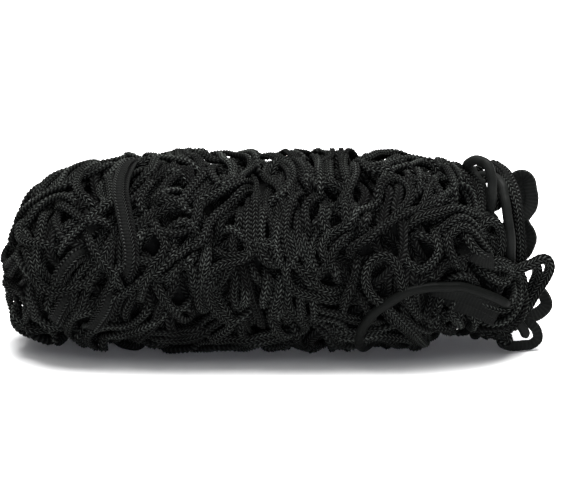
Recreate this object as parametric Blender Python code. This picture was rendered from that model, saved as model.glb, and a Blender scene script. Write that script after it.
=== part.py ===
"""A cargo net of black knitted cord, rolled up into a bundle.

The roll lies along X on its flat spot, with its front towards -Y and +Z up. The origin is under the
middle of the roll. Its wound body and main cords are one solid. The border bands, the elastic cord
and the loops of net cord that show outside the roll are solids of their own, seated in the roll.
Tables are in millimetres and degrees. The model is in metres.
"""

import math

import bmesh
import bpy
import numpy as np
from mathutils import Matrix, Vector

MM = 0.001

# Driving sizes.
ELASTIC_DIAMETER = 6.35
NET_CORD = (6.6, 3.0)
BORDER_BAND = (9.2, 3.5)
RAISED_CORD = (6.8, 5.6)
FIT_GAP = 0.3

# The roll's outer surface. Each row is a section: its place along the roll, its middle height, its
# rise above and its drop below that height, and its half depth. The drop runs past the floor, which
# cuts it flat.
SECTIONS = (
    (-164, 42, 15, 15, 17),
    (-160, 45, 27.5, 27, 33),
    (-152, 49.5, 41.5, 40.5, 46.5),
    (-140, 53, 50, 50, 56),
    (-125, 56, 56, 58, 62),
    (-103, 58, 60, 62.5, 67),
    (-75, 60, 62.5, 65, 70),
    (-31, 61, 63, 66, 71.5),
    (9, 61, 63, 66, 72),
    (45, 61, 64, 66, 71),
    (79, 61, 63.5, 65.5, 70),
    (101, 61, 60.5, 64, 67),
    (115, 61, 57.5, 59, 62.5),
    (128, 60, 54, 55, 57),
    (133, 57.5, 50.5, 51.5, 55),
    (138, 53, 46, 47, 52.5),
    (148, 44.5, 36, 38, 45),
    (158, 39, 28, 31, 37),
    (164, 36, 17, 20, 24),
    (167, 35, 8, 9, 11),
)
SECTION_STEP = 20
SECTION_SIDES = 24
BODY_INSET = 3.6
MIDDLE_SHIFT = -1.5

# The front is described as it is seen from a little above, so a height in a table is a height in
# that view, and the point lies on the front of the roll under it.
VIEW_ELEVATION = 15.0

# Main cords on the front, as points of (along, seen height).
FRONT_CORDS = (
    ((-157, 70), (-156, 78), (-150, 86), (-141, 92), (-131, 98), (-122, 102), (-116, 108), (-99, 116)),
    ((-102, 117), (-109, 113), (-116, 101), (-113, 95), (-108, 91), (-104, 85)),
    ((-95, 91), (-100, 86), (-107, 81), (-117, 71), (-123, 65), (-130, 58)),
    ((-152, 67), (-144, 53), (-138, 39), (-131, 35), (-122, 36), (-113, 39), (-104, 44), (-96, 51)),
    ((-112, 76), (-105, 61), (-99, 53), (-93, 47), (-89, 39), (-86, 31)),
    ((-149, 19), (-141, 15), (-133, 9), (-126, 3)),
    ((-100, 30), (-107, 27), (-114, 24), (-119, 19), (-126, 12)),
    ((-82, 116), (-71, 118), (-58, 118), (-47, 116), (-37, 112)),
    ((-30, 114), (-36, 108), (-46, 97), (-55, 86)),
    ((-29, 116), (-32, 110), (-30, 105), (-26, 101), (-21, 102), (-18, 106), (-19, 113)),
    ((-5, 108), (-17, 101), (-29, 95), (-44, 88)),
    ((-5, 103), (-17, 92), (-29, 82), (-36, 68), (-46, 61)),
    ((-7, 96), (-9, 77), (-8, 59), (-14, 55), (-23, 53), (-31, 48), (-37, 41), (-39, 33), (-33, 18)),
    ((-23, 49), (-29, 44), (-33, 37), (-32, 28), (-27, 21), (-19, 16), (-11, 18), (-5, 22)),
    ((-3, 100), (-4, 78), (-1, 59), (11, 49)),
    ((-71, 85), (-60, 65), (-62, 58), (-67, 52), (-74, 35), (-76, 26)),
    ((-70, 45), (-65, 38), (-61, 31), (-56, 25), (-50, 23), (-44, 27)),
    ((26, 100), (17, 84), (15, 73), (16, 62), (20, 53), (32, 43), (42, 54), (46, 62), (58, 73)),
    ((53, 56), (66, 68), (84, 81), (102, 89)),
    ((60, 58), (57, 40), (51, 23), (47, 15)),
    ((86, 28), (87, 37), (83, 54), (77, 58), (67, 51), (65, 35), (68, 27)),
    ((72, 72), (87, 85), (93, 98), (82, 105), (72, 95), (72, 87)),
    ((88, 72), (94, 78), (103, 82), (112, 84), (128, 87)),
    ((91, 103), (100, 105), (108, 101), (112, 94), (107, 78), (110, 59), (105, 52), (98, 49), (90, 57)),
    ((114, 116), (121, 99), (127, 78), (128, 70), (132, 62), (139, 56), (147, 53)),
    ((133, 78), (138, 82), (145, 82), (150, 78), (153, 71), (153, 63), (150, 56)),
    ((24, 42), (24, 31), (25, 21), (28, 12)),
    ((43, 120), (42, 113), (43, 105), (48, 99)),
    ((74, 21), (82, 15), (91, 8), (99, 0), (107, -3)),
    ((4, 47), (3, 38), (1, 29), (3, 20), (8, 12), (15, 3)),
    ((32, 40), (32, 30), (33, 20), (31, 6)),
    ((110, 15), (119, 18), (125, 13), (127, 5)),
    ((-48, 56), (-53, 49), (-58, 34), (-62, 16), (-58, 2)),
    ((1, 92), (0, 72), (4, 54)),
    ((11, 86), (9, 66), (15, 47)),
    ((-40, 16), (-28, 7), (-14, 4), (-4, -2)),
    ((-112, 14), (-98, 8), (-84, 9), (-74, 2)),
)

# Main cords round the top, back and underside, as rows of (along, from angle, to angle, lean, wave,
# waves). The angle about the roll is 0 at the front, 90 on top and 180 at the back. The cord leans
# along the roll, and waves as it goes.
WRAPS = (
    (-147, 95, 265, 10, 6, 1.5),
    (-128, 84, 300, -18, 7, 2),
    (-106, 100, 250, 14, 9, 1.5),
    (-86, 98, 305, -12, 6, 2.5),
    (-66, 108, 255, 22, 8, 2),
    (-46, 100, 300, -16, 7, 1.5),
    (-24, 96, 262, 10, 9, 2),
    (-4, 88, 245, -18, 6, 2.5),
    (16, 98, 304, 16, 8, 1.5),
    (36, 94, 250, -10, 9, 2),
    (56, 86, 302, 18, 6, 2),
    (78, 98, 255, -14, 8, 2),
    (98, 92, 262, 14, 8, 1.5),
    (120, 96, 298, -12, 6, 2),
    (134, 100, 245, -6, 4, 1.5),
)

# Main cords that run along the back, as rows of (angle, from along, to along, drift, wave, waves).
RUNS = (
    (116, -112, -24, 22, 8, 1.5),
    (146, -58, 44, -24, 9, 2),
    (190, -140, -44, 18, 9, 1.5),
    (212, 2, 112, -20, 8, 2),
    (132, 44, 124, 24, 7, 1.5),
)

# The border band where it lies on the roll, as points of (along, seen height).
LEFT_BAND = (
    (-71, 117), (-77, 117), (-83, 115), (-86, 110), (-88, 103), (-88, 94), (-86, 85), (-84, 75),
    (-82, 66), (-81, 56), (-83, 47), (-86, 42),
)
LOW_BAND = ((116, 28), (123, 26), (131, 24), (138, 22), (144, 19), (149, 16), (154, 15))

# The elastic cord's sweep over the front, as points of (along, seen height).
ELASTIC_SWEEP = (
    (72, -4), (66, -4), (62, -1), (61, 4), (63, 11), (67, 17), (72, 23), (78, 27), (84, 31), (91, 35),
    (99, 37), (107, 38), (116, 38), (124, 38), (132, 36), (140, 33), (147, 30), (153, 27), (159, 25),
)

# Routes of the free cords, as points of (along, back, up). Both ends run into the roll.
ELASTIC_HAIRPIN = (
    (140, -3, 81), (141, -2, 87), (141, -1, 93), (140, 0, 99), (139, 1, 105), (136, 3, 109), (133, 5, 113),
    (130, 3, 117), (131, -1, 120), (135, -5, 123), (139, -9, 123), (142, -13, 122), (144, -16, 118),
    (145, -18, 113), (145, -19, 107), (145, -18, 100), (144, -15, 93), (143, -11, 87), (142, -7, 80),
)
ELASTIC_DROP = (
    (127, 14, 101), (132, 15, 105), (137, 14, 107), (142, 11, 109), (147, 6, 109), (150, 0, 108),
    (152, -6, 106), (153, -11, 101), (154, -15, 96), (155, -18, 89), (156, -20, 83), (157, -21, 75),
    (157, -21, 67), (157, -19, 59), (156, -15, 52), (156, -10, 44),
)
BORDER_FALL = (
    (130, 24, 103), (135, 24, 108), (140, 23, 111), (145, 21, 114), (149, 17, 113), (153, 11, 111),
    (156, 5, 107), (159, 0, 100), (160, -4, 93), (161, -6, 85), (162, -7, 77), (163, -7, 68),
    (163, -6, 60), (162, -3, 52), (159, 0, 44),
)
BORDER_LOOPS = (
    (156, 14, 49), (157, 17, 58), (157, 18, 67), (157, 18, 78), (157, 17, 88), (156, 16, 97),
    (157, 15, 103), (160, 14, 107), (163, 13, 109), (167, 12, 109), (170, 11, 106), (171, 10, 101),
    (172, 9, 95), (171, 8, 89), (168, 7, 85), (166, 6, 81), (168, 5, 77), (170, 4, 74), (171, 3, 70),
    (170, 3, 66), (168, 4, 61), (165, 6, 57), (162, 8, 52), (157, 10, 47),
)
BORDER_LOOP_LOW = (
    (157, 8, 26), (163, 8, 32), (169, 7, 36), (174, 6, 37), (178, 5, 34), (181, 4, 29), (181, 3, 25),
    (177, 2, 21), (172, 1, 19), (166, 1, 18), (161, 3, 18), (156, 6, 20),
)
NET_LOOP_SIDE = (
    (145, -32, 64), (151, -33, 61), (158, -31, 57), (165, -28, 59), (171, -25, 61), (176, -23, 63),
    (180, -21, 62), (182, -19, 57), (180, -17, 50), (176, -16, 43), (172, -15, 36), (168, -15, 29),
    (163, -14, 26), (156, -13, 25),
)
NET_LOOP_INNER = (
    (152, -24, 54), (159, -25, 56), (166, -22, 58), (171, -18, 58), (174, -15, 55), (174, -13, 50),
    (172, -11, 44), (170, -9, 38), (167, -7, 31), (163, -7, 25), (157, -7, 21),
)
NET_LOOP_LOW = (
    (153, -20, 27), (152, -22, 21), (152, -22, 15), (152, -20, 8), (156, -18, 5), (161, -16, 4),
    (166, -14, 4), (171, -12, 4), (175, -11, 7), (175, -10, 11), (173, -10, 15), (169, -10, 18),
    (163, -12, 17), (156, -13, 16),
)

# How a loose flat cord lies: the way its flat side looks, or the way its width runs, and how much
# the end loops turn their flat side towards the front.
TOWARDS_FRONT = Vector((0.0, -1.0, 0.2))
TOWARDS_FRONT_AND_END = Vector((0.3, -0.85, 0.4))
ACROSS_THE_END = Vector((0.0, 1.0, 0.25))
LOOP_TURN = 0.9

# How far a cord's middle line lies under the roll's outer surface, and how far its ends dip.
BAND_INSET = 1.2
SWEEP_INSET = 0.6
RAISED_TUCK = 5.0
END_TUCK = 8.0
TUCK_RUN = 12.0

# Distance between a cord's rings.
RAISED_STEP = 11.0
BAND_STEP = 7.0
LOOSE_STEP = 6.0
ELASTIC_STEP = 8.0

MEAN_RADIUS = 66.0
ROUTE_POINTS = 15
CURVE_SHARE = 0.05
ANGLE_SHIFT = 0.02
KEPT_SHARE = 0.55
CORD_SIDES = 8
RAISED_SIDES = 6
BEVEL_STEPS = 2
SHARP_ANGLE = math.radians(50)
FLOOR_CUT = (0.5, 0.3, 0.05)

# Each finish's linear colour and roughness.
FINISHES = {
    "net_cord": ((0.016, 0.016, 0.017), 0.75),
    "border_band": ((0.018, 0.018, 0.019), 0.6),
    "elastic_cord": ((0.014, 0.014, 0.015), 0.45),
}


def material(name, colour, roughness):
    made = bpy.data.materials.new(name)
    made.use_nodes = True
    shader = made.node_tree.nodes["Principled BSDF"]
    shader.inputs["Base Color"].default_value = (*colour, 1)
    shader.inputs["Roughness"].default_value = roughness
    shader.inputs["Metallic"].default_value = 0
    return made


def section_at(along):
    """The middle, rise, drop and depth there, on a smooth curve through the table."""
    table = np.array(SECTIONS, float)
    stations = table[:, 0]
    slopes = np.gradient(table[:, 1:], stations, axis=0)
    along = min(max(along, stations[0]), stations[-1])
    row = min(int(np.searchsorted(stations, along, side="right")) - 1, len(stations) - 2)
    gap = stations[row + 1] - stations[row]
    t = (along - stations[row]) / gap
    start, end = table[row, 1:], table[row + 1, 1:]
    return (
        start * (1 + 2 * t) * (1 - t) ** 2
        + slopes[row] * gap * t * (1 - t) ** 2
        + end * t * t * (3 - 2 * t)
        + slopes[row + 1] * gap * t * t * (t - 1)
    )


def on_surface(along, angle, inset=0.0):
    """The point at that angle about the roll, in from its outer surface."""
    middle, rise, drop, depth = section_at(along)
    height = rise if math.sin(angle) > 0 else drop
    back = -(max(depth - inset, 1.0)) * math.cos(angle)
    up = middle + max(height - inset, 1.0) * math.sin(angle)
    return Vector((along, back, up))


def outward(along, angle):
    """The surface's outward direction there."""
    step = 1.0
    place = min(max(along, SECTIONS[0][0] + step), SECTIONS[-1][0] - step)
    down_the_roll = on_surface(place + step, angle) - on_surface(place - step, angle)
    round_the_roll = on_surface(place, angle + ANGLE_SHIFT) - on_surface(place, angle - ANGLE_SHIFT)
    return down_the_roll.cross(round_the_roll).normalized()


def angle_seen(along, height):
    """The angle about the roll of the front point that the view shows at that height."""
    middle, rise, drop, depth = section_at(along)
    tilt = math.radians(VIEW_ELEVATION)
    above = height - middle * math.cos(tilt)
    reach = (rise if above > 0 else drop) * math.cos(tilt)
    across = depth * math.sin(tilt)
    share = above / math.hypot(reach, across)
    return math.atan2(across, reach) + math.asin(min(max(share, -1.0), 1.0))


def smooth_route(points, step):
    """Even points on a smooth curve through the route's own points."""
    points = [np.array(p, float) for p in points]
    padded = [2 * points[0] - points[1], *points, 2 * points[-1] - points[-2]]
    fine = []
    for a, b, c, d in zip(padded, padded[1:], padded[2:], padded[3:]):
        for t in np.arange(0, 1, CURVE_SHARE):
            fine.append(0.5 * (2 * b + (c - a) * t + (2 * a - 5 * b + 4 * c - d) * t**2
                               + (3 * b - a - 3 * c + d) * t**3))
    fine = np.array([*fine, points[-1]])
    run = np.concatenate([[0], np.cumsum(np.linalg.norm(np.diff(fine, axis=0), axis=1))])
    stations = np.linspace(0, run[-1], max(3, round(run[-1] / step) + 1))
    return np.stack([np.interp(stations, run, column) for column in fine.T], axis=1)


def laid_on_roll(route, step, inset, tuck):
    """Points and outward directions of a cord on the roll.

    The route is rows of (along, angle), and its ends dip under the surface by the tuck.
    """
    scaled = [(along, angle * MEAN_RADIUS) for along, angle in route]
    rows = smooth_route(scaled, step)
    run = np.concatenate([[0], np.cumsum(np.linalg.norm(np.diff(rows, axis=0), axis=1))])
    points, facings = [], []
    for distance, (along, arc) in zip(run, rows):
        from_end = min(distance, run[-1] - distance)
        dip = tuck * max(0.0, 1 - from_end / TUCK_RUN) ** 2
        angle = arc / MEAN_RADIUS
        points.append(on_surface(along, angle, inset + dip))
        facings.append(outward(along, angle))
    return points, facings


def seen_route(rows):
    return [(along, angle_seen(along, height)) for along, height in rows]


def wrap_route(along, from_angle, to_angle, lean, wave, waves):
    rows = []
    for t in np.linspace(0, 1, ROUTE_POINTS):
        swing = wave * math.sin(2 * math.pi * waves * t)
        angle = from_angle + (to_angle - from_angle) * t
        rows.append((along + lean * (t - 0.5) + swing, math.radians(angle)))
    return rows


def run_route(angle, from_along, to_along, drift, wave, waves):
    rows = []
    for t in np.linspace(0, 1, ROUTE_POINTS):
        swing = wave * math.sin(2 * math.pi * waves * t)
        along = from_along + (to_along - from_along) * t
        rows.append((along, math.radians(angle + drift * (t - 0.5) + swing)))
    return rows


def tangents(points):
    ends = [points[0], *points, points[-1]]
    return [(after - before).normalized() for before, after in zip(ends, ends[2:])]


def placed(point):
    return Vector((point[0] + MIDDLE_SHIFT, point[1], point[2])) * MM


def new_object(name, mesh, finish):
    made = bpy.data.objects.new(name, mesh)
    made.data.materials.append(finish)
    bpy.context.scene.collection.objects.link(made)
    return made


def cord_body(name, points, facings, size, finish, sides=CORD_SIDES, extra=0.0):
    """A closed tube of oval section, whose flat side looks along the facings.

    The extra length is added at both ends.
    """
    body = bmesh.new()
    rings = []
    directions = tangents(points)
    points = [points[0] - directions[0] * extra, *points[1:-1], points[-1] + directions[-1] * extra]
    for point, along, facing in zip(points, directions, facings):
        across = along.cross(facing).normalized()
        face = across.cross(along)
        ring = []
        for side in range(sides):
            turn = 2 * math.pi * (side + 0.5) / sides
            offset = across * (size[0] / 2 * math.cos(turn)) + face * (size[1] / 2 * math.sin(turn))
            ring.append(body.verts.new(placed(point + offset)))
        rings.append(ring)
    for ring, following in zip(rings, rings[1:]):
        for side in range(sides):
            beside = (side + 1) % sides
            body.faces.new((ring[side], ring[beside], following[beside]))
            body.faces.new((ring[side], following[beside], following[side]))
    body.faces.new(reversed(rings[0]))
    body.faces.new(rings[-1])
    bmesh.ops.recalc_face_normals(body, faces=body.faces)
    mesh = bpy.data.meshes.new(name)
    body.to_mesh(mesh)
    body.free()
    mesh.shade_smooth()
    mesh.set_sharp_from_angle(angle=SHARP_ANGLE)
    return new_object(name, mesh, finish)


def round_cord(name, points, diameter, finish):
    """A free round cord: a curve through the points with a bevel and filled ends."""
    line = bpy.data.curves.new(name, "CURVE")
    line.dimensions = "3D"
    line.bevel_depth = diameter / 2 * MM
    line.bevel_resolution = BEVEL_STEPS
    line.use_fill_caps = True
    spline = line.splines.new("POLY")
    spline.points.add(len(points) - 1)
    for target, point in zip(spline.points, points):
        target.co = (*placed(point), 1)
    spline.use_smooth = True
    return new_object(name, line, finish)


def meshed(name, line, finish):
    """The curve's own tube as a mesh, in the curve's place."""
    bpy.context.view_layer.update()
    tube = line.evaluated_get(bpy.context.evaluated_depsgraph_get())
    mesh = bpy.data.meshes.new_from_object(tube)
    mesh.materials.clear()
    mesh.name = name
    bpy.data.objects.remove(line)
    return new_object(name, mesh, finish)


def run_on(points, extra):
    """The same points with both ends run straight on by the extra length."""
    first = points[0] + (points[0] - points[1]).normalized() * extra
    last = points[-1] + (points[-1] - points[-2]).normalized() * extra
    return [first, *points[1:-1], last]


def into(collection, cutter):
    """Makes it a hidden cutter of that collection."""
    bpy.context.scene.collection.objects.unlink(cutter)
    collection.objects.link(cutter)
    cutter.hide_render = True
    cutter.display_type = "WIRE"


def hidden_collection(name):
    made = bpy.data.collections.new(name)
    bpy.context.scene.collection.children.link(made)
    return made


def roll_body(finish):
    """The wound body under its main cords, lofted through the section table."""
    stations = []
    for row, following in zip(SECTIONS, SECTIONS[1:]):
        steps = max(1, round((following[0] - row[0]) / SECTION_STEP))
        stations += list(np.linspace(row[0], following[0], steps, endpoint=False))
    stations.append(SECTIONS[-1][0])
    turns = [2 * math.pi * side / SECTION_SIDES for side in range(SECTION_SIDES)]
    body = bmesh.new()
    rings = []
    for along in stations:
        points = [placed(on_surface(along, turn, BODY_INSET)) for turn in turns]
        rings.append([body.verts.new(point) for point in points])
    edges = [edge for ring in rings for edge in closed_ring(body, ring)]
    bmesh.ops.bridge_loops(body, edges=edges)
    body.faces.new(rings[0])
    body.faces.new(rings[-1])
    bmesh.ops.recalc_face_normals(body, faces=body.faces)
    mesh = bpy.data.meshes.new("net_roll")
    body.to_mesh(mesh)
    body.free()
    return new_object("net_roll", mesh, finish)


def closed_ring(body, verts):
    return [body.edges.new((a, b)) for a, b in zip(verts, [*verts[1:], verts[0]])]


def raised_cords(collection, finish):
    """The main cords, which a union joins to the roll's body."""
    width, thickness = RAISED_CORD
    routes = [seen_route(rows) for rows in FRONT_CORDS]
    routes += [wrap_route(*row) for row in WRAPS]
    routes += [run_route(*row) for row in RUNS]
    for number, route in enumerate(routes):
        points, facings = laid_on_roll(route, RAISED_STEP, thickness / 2, RAISED_TUCK)
        name = f"raised_{number}"
        cord = cord_body(name, points, facings, (width, thickness), finish, sides=RAISED_SIDES)
        into(collection, cord)


def floor_cutter(collection, finish):
    """All that is under the floor is cut away, which leaves the flat spot."""
    block = bmesh.new()
    bmesh.ops.create_cube(block, size=1)
    bmesh.ops.transform(block, matrix=Matrix.Diagonal((*FLOOR_CUT, 1)), verts=block.verts)
    bmesh.ops.translate(block, vec=(0, 0, -FLOOR_CUT[2] / 2), verts=block.verts)
    mesh = bpy.data.meshes.new("floor_cut")
    block.to_mesh(mesh)
    block.free()
    into(collection, new_object("floor_cut", mesh, finish))


def looking(points, way):
    return [way] * len(points)


def turned(points):
    """Facings of a loop whose width runs across the end, turned a little towards the front."""
    into_loop = [ACROSS_THE_END.cross(along).normalized() for along in tangents(points)]
    return [facing + LOOP_TURN * TOWARDS_FRONT.normalized() for facing in into_loop]


def flat_pieces(finishes):
    """Every flat cord outside the roll: its name, points, facings, size and finish."""
    border, net = finishes["border_band"], finishes["net_cord"]

    def laid(route):
        return laid_on_roll(seen_route(route), BAND_STEP, BAND_INSET, END_TUCK)

    def free(route):
        return [Vector(point) for point in smooth_route(route, LOOSE_STEP)]

    fall, loops, low = free(BORDER_FALL), free(BORDER_LOOPS), free(BORDER_LOOP_LOW)
    side, inner, bottom = free(NET_LOOP_SIDE), free(NET_LOOP_INNER), free(NET_LOOP_LOW)
    return [
        ("border_band_left", *laid(LEFT_BAND), BORDER_BAND, border),
        ("border_band_low", *laid(LOW_BAND), BORDER_BAND, border),
        ("border_fall", fall, looking(fall, TOWARDS_FRONT_AND_END), BORDER_BAND, border),
        ("border_loops_end", loops, turned(loops), BORDER_BAND, border),
        ("border_loop_low", low, turned(low), BORDER_BAND, border),
        ("net_loop_side", side, looking(side, TOWARDS_FRONT), NET_CORD, net),
        ("net_loop_inner", inner, looking(inner, TOWARDS_FRONT), NET_CORD, net),
        ("net_loop_low", bottom, looking(bottom, TOWARDS_FRONT), NET_CORD, net),
    ]


def elastic_pieces():
    """Every length of the elastic cord: its name and points."""
    sweep, _ = laid_on_roll(seen_route(ELASTIC_SWEEP), ELASTIC_STEP, SWEEP_INSET, END_TUCK)
    return [
        ("elastic_hairpin", [Vector(p) for p in smooth_route(ELASTIC_HAIRPIN, LOOSE_STEP)]),
        ("elastic_drop", [Vector(p) for p in smooth_route(ELASTIC_DROP, ELASTIC_STEP)]),
        ("elastic_sweep", sweep),
    ]


def boolean(target, operation, collection):
    cut = target.modifiers.new(collection.name, "BOOLEAN")
    cut.operation = operation
    cut.operand_type = "COLLECTION"
    cut.collection = collection


def main():
    for existing in list(bpy.data.objects):
        bpy.data.objects.remove(existing)
    finishes = {name: material(name, *look) for name, look in FINISHES.items()}
    raised = hidden_collection("raised_cords")
    seats = hidden_collection("seats")

    roll = roll_body(finishes["net_cord"])
    raised_cords(raised, finishes["net_cord"])
    floor_cutter(seats, finishes["net_cord"])

    for name, points, facings, size, finish in flat_pieces(finishes):
        cord_body(name, points, facings, size, finish)
        seat_size = [side + 2 * FIT_GAP for side in size]
        seat = cord_body(f"seat_{name}", points, facings, seat_size, finish, extra=FIT_GAP)
        into(seats, seat)
    elastic = finishes["elastic_cord"]
    for name, points in elastic_pieces():
        round_cord(name, points, ELASTIC_DIAMETER, elastic)
        seat_diameter = ELASTIC_DIAMETER + 2 * FIT_GAP
        line = round_cord("seat_line", run_on(points, FIT_GAP), seat_diameter, elastic)
        into(seats, meshed(f"seat_{name}", line, elastic))

    boolean(roll, "UNION", raised)
    lighter = roll.modifiers.new("lighter", "DECIMATE")
    lighter.ratio = KEPT_SHARE
    boolean(roll, "DIFFERENCE", seats)


main()
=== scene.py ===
"""The looks of a rolled cargo net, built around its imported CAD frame.

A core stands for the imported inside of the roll. Strands of flat knitted cord are laid over it one
after another, each on those before it, as meanders on every side and as chosen routes on the front.
The loose loops, the border band and the elastic cord follow the routes of the CAD part.
Tables are in millimetres and degrees, as the part's are, and meshes are in metres.
"""

import math

import bpy
import numpy as np
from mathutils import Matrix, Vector


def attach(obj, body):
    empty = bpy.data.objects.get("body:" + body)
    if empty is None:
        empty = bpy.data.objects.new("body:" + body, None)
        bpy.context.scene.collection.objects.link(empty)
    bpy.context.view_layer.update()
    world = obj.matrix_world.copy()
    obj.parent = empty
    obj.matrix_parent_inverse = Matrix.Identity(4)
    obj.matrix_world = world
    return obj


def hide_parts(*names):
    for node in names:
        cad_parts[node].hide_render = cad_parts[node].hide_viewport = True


bl_info = {
    "name": "Rolled Cargo Net",
    "version": (1, 0, 0),
    "blender": (4, 5, 0),
    "location": "3D View > Sidebar > Cargo Net",
    "description": "Knitted cords, border band and elastic cord of a rolled cargo net",
    "category": "Object",
}

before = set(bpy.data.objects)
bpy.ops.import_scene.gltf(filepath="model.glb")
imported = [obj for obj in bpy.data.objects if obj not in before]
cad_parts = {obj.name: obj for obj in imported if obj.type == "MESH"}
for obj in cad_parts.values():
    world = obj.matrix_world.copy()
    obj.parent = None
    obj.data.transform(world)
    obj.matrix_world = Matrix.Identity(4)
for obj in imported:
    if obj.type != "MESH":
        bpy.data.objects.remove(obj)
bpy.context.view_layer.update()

MM = 0.001
MIDDLE_SHIFT = -1.5
VIEW_ELEVATION = 15.0

# The roll's outer surface: place along the roll, middle height, rise above it, drop below it, and
# half depth. It is the part's table, with a closing row at both ends, and drawn in at the low right
# where the strands end higher.
SECTIONS = (
    (-165.5, 42, 3, 3, 3),
    (-164, 42, 15, 15, 17),
    (-160, 45, 27.5, 27, 33),
    (-152, 49.5, 41.5, 40.5, 46.5),
    (-140, 53, 50, 50, 56),
    (-125, 56, 56, 58, 62),
    (-103, 58, 60, 62.5, 67),
    (-75, 60, 62.5, 65, 70),
    (-31, 61, 63, 66, 71.5),
    (9, 61, 63, 66, 72),
    (45, 61, 64, 66, 71),
    (79, 61, 63.5, 65.5, 70),
    (101, 61, 60.5, 63, 67),
    (109, 61, 59, 57, 65),
    (115, 61, 57.5, 55, 62.5),
    (128, 60, 54, 55, 57),
    (133, 57.5, 50.5, 51.5, 55),
    (138, 53, 46, 47, 52.5),
    (148, 44.5, 36, 38, 45),
    (158, 39, 28, 31, 37),
    (164, 36, 17, 20, 24),
    (167, 35, 8, 9, 11),
    (168, 35, 2, 2, 2),
)
# How deep the core lies under that surface, how much deeper where it faces the floor, and how much
# less deep at the left tip.
CORE_INSET = 14.5
LOW_INSET = 5.0
TIP_INSET = 3.0
# The roll's spine, how softly the floor presses the roll flat, and how low a strand may lie.
SPINE = (-105, 105)
FLOOR_SOFTNESS = 1.5
LOWEST = 0.15

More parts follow.
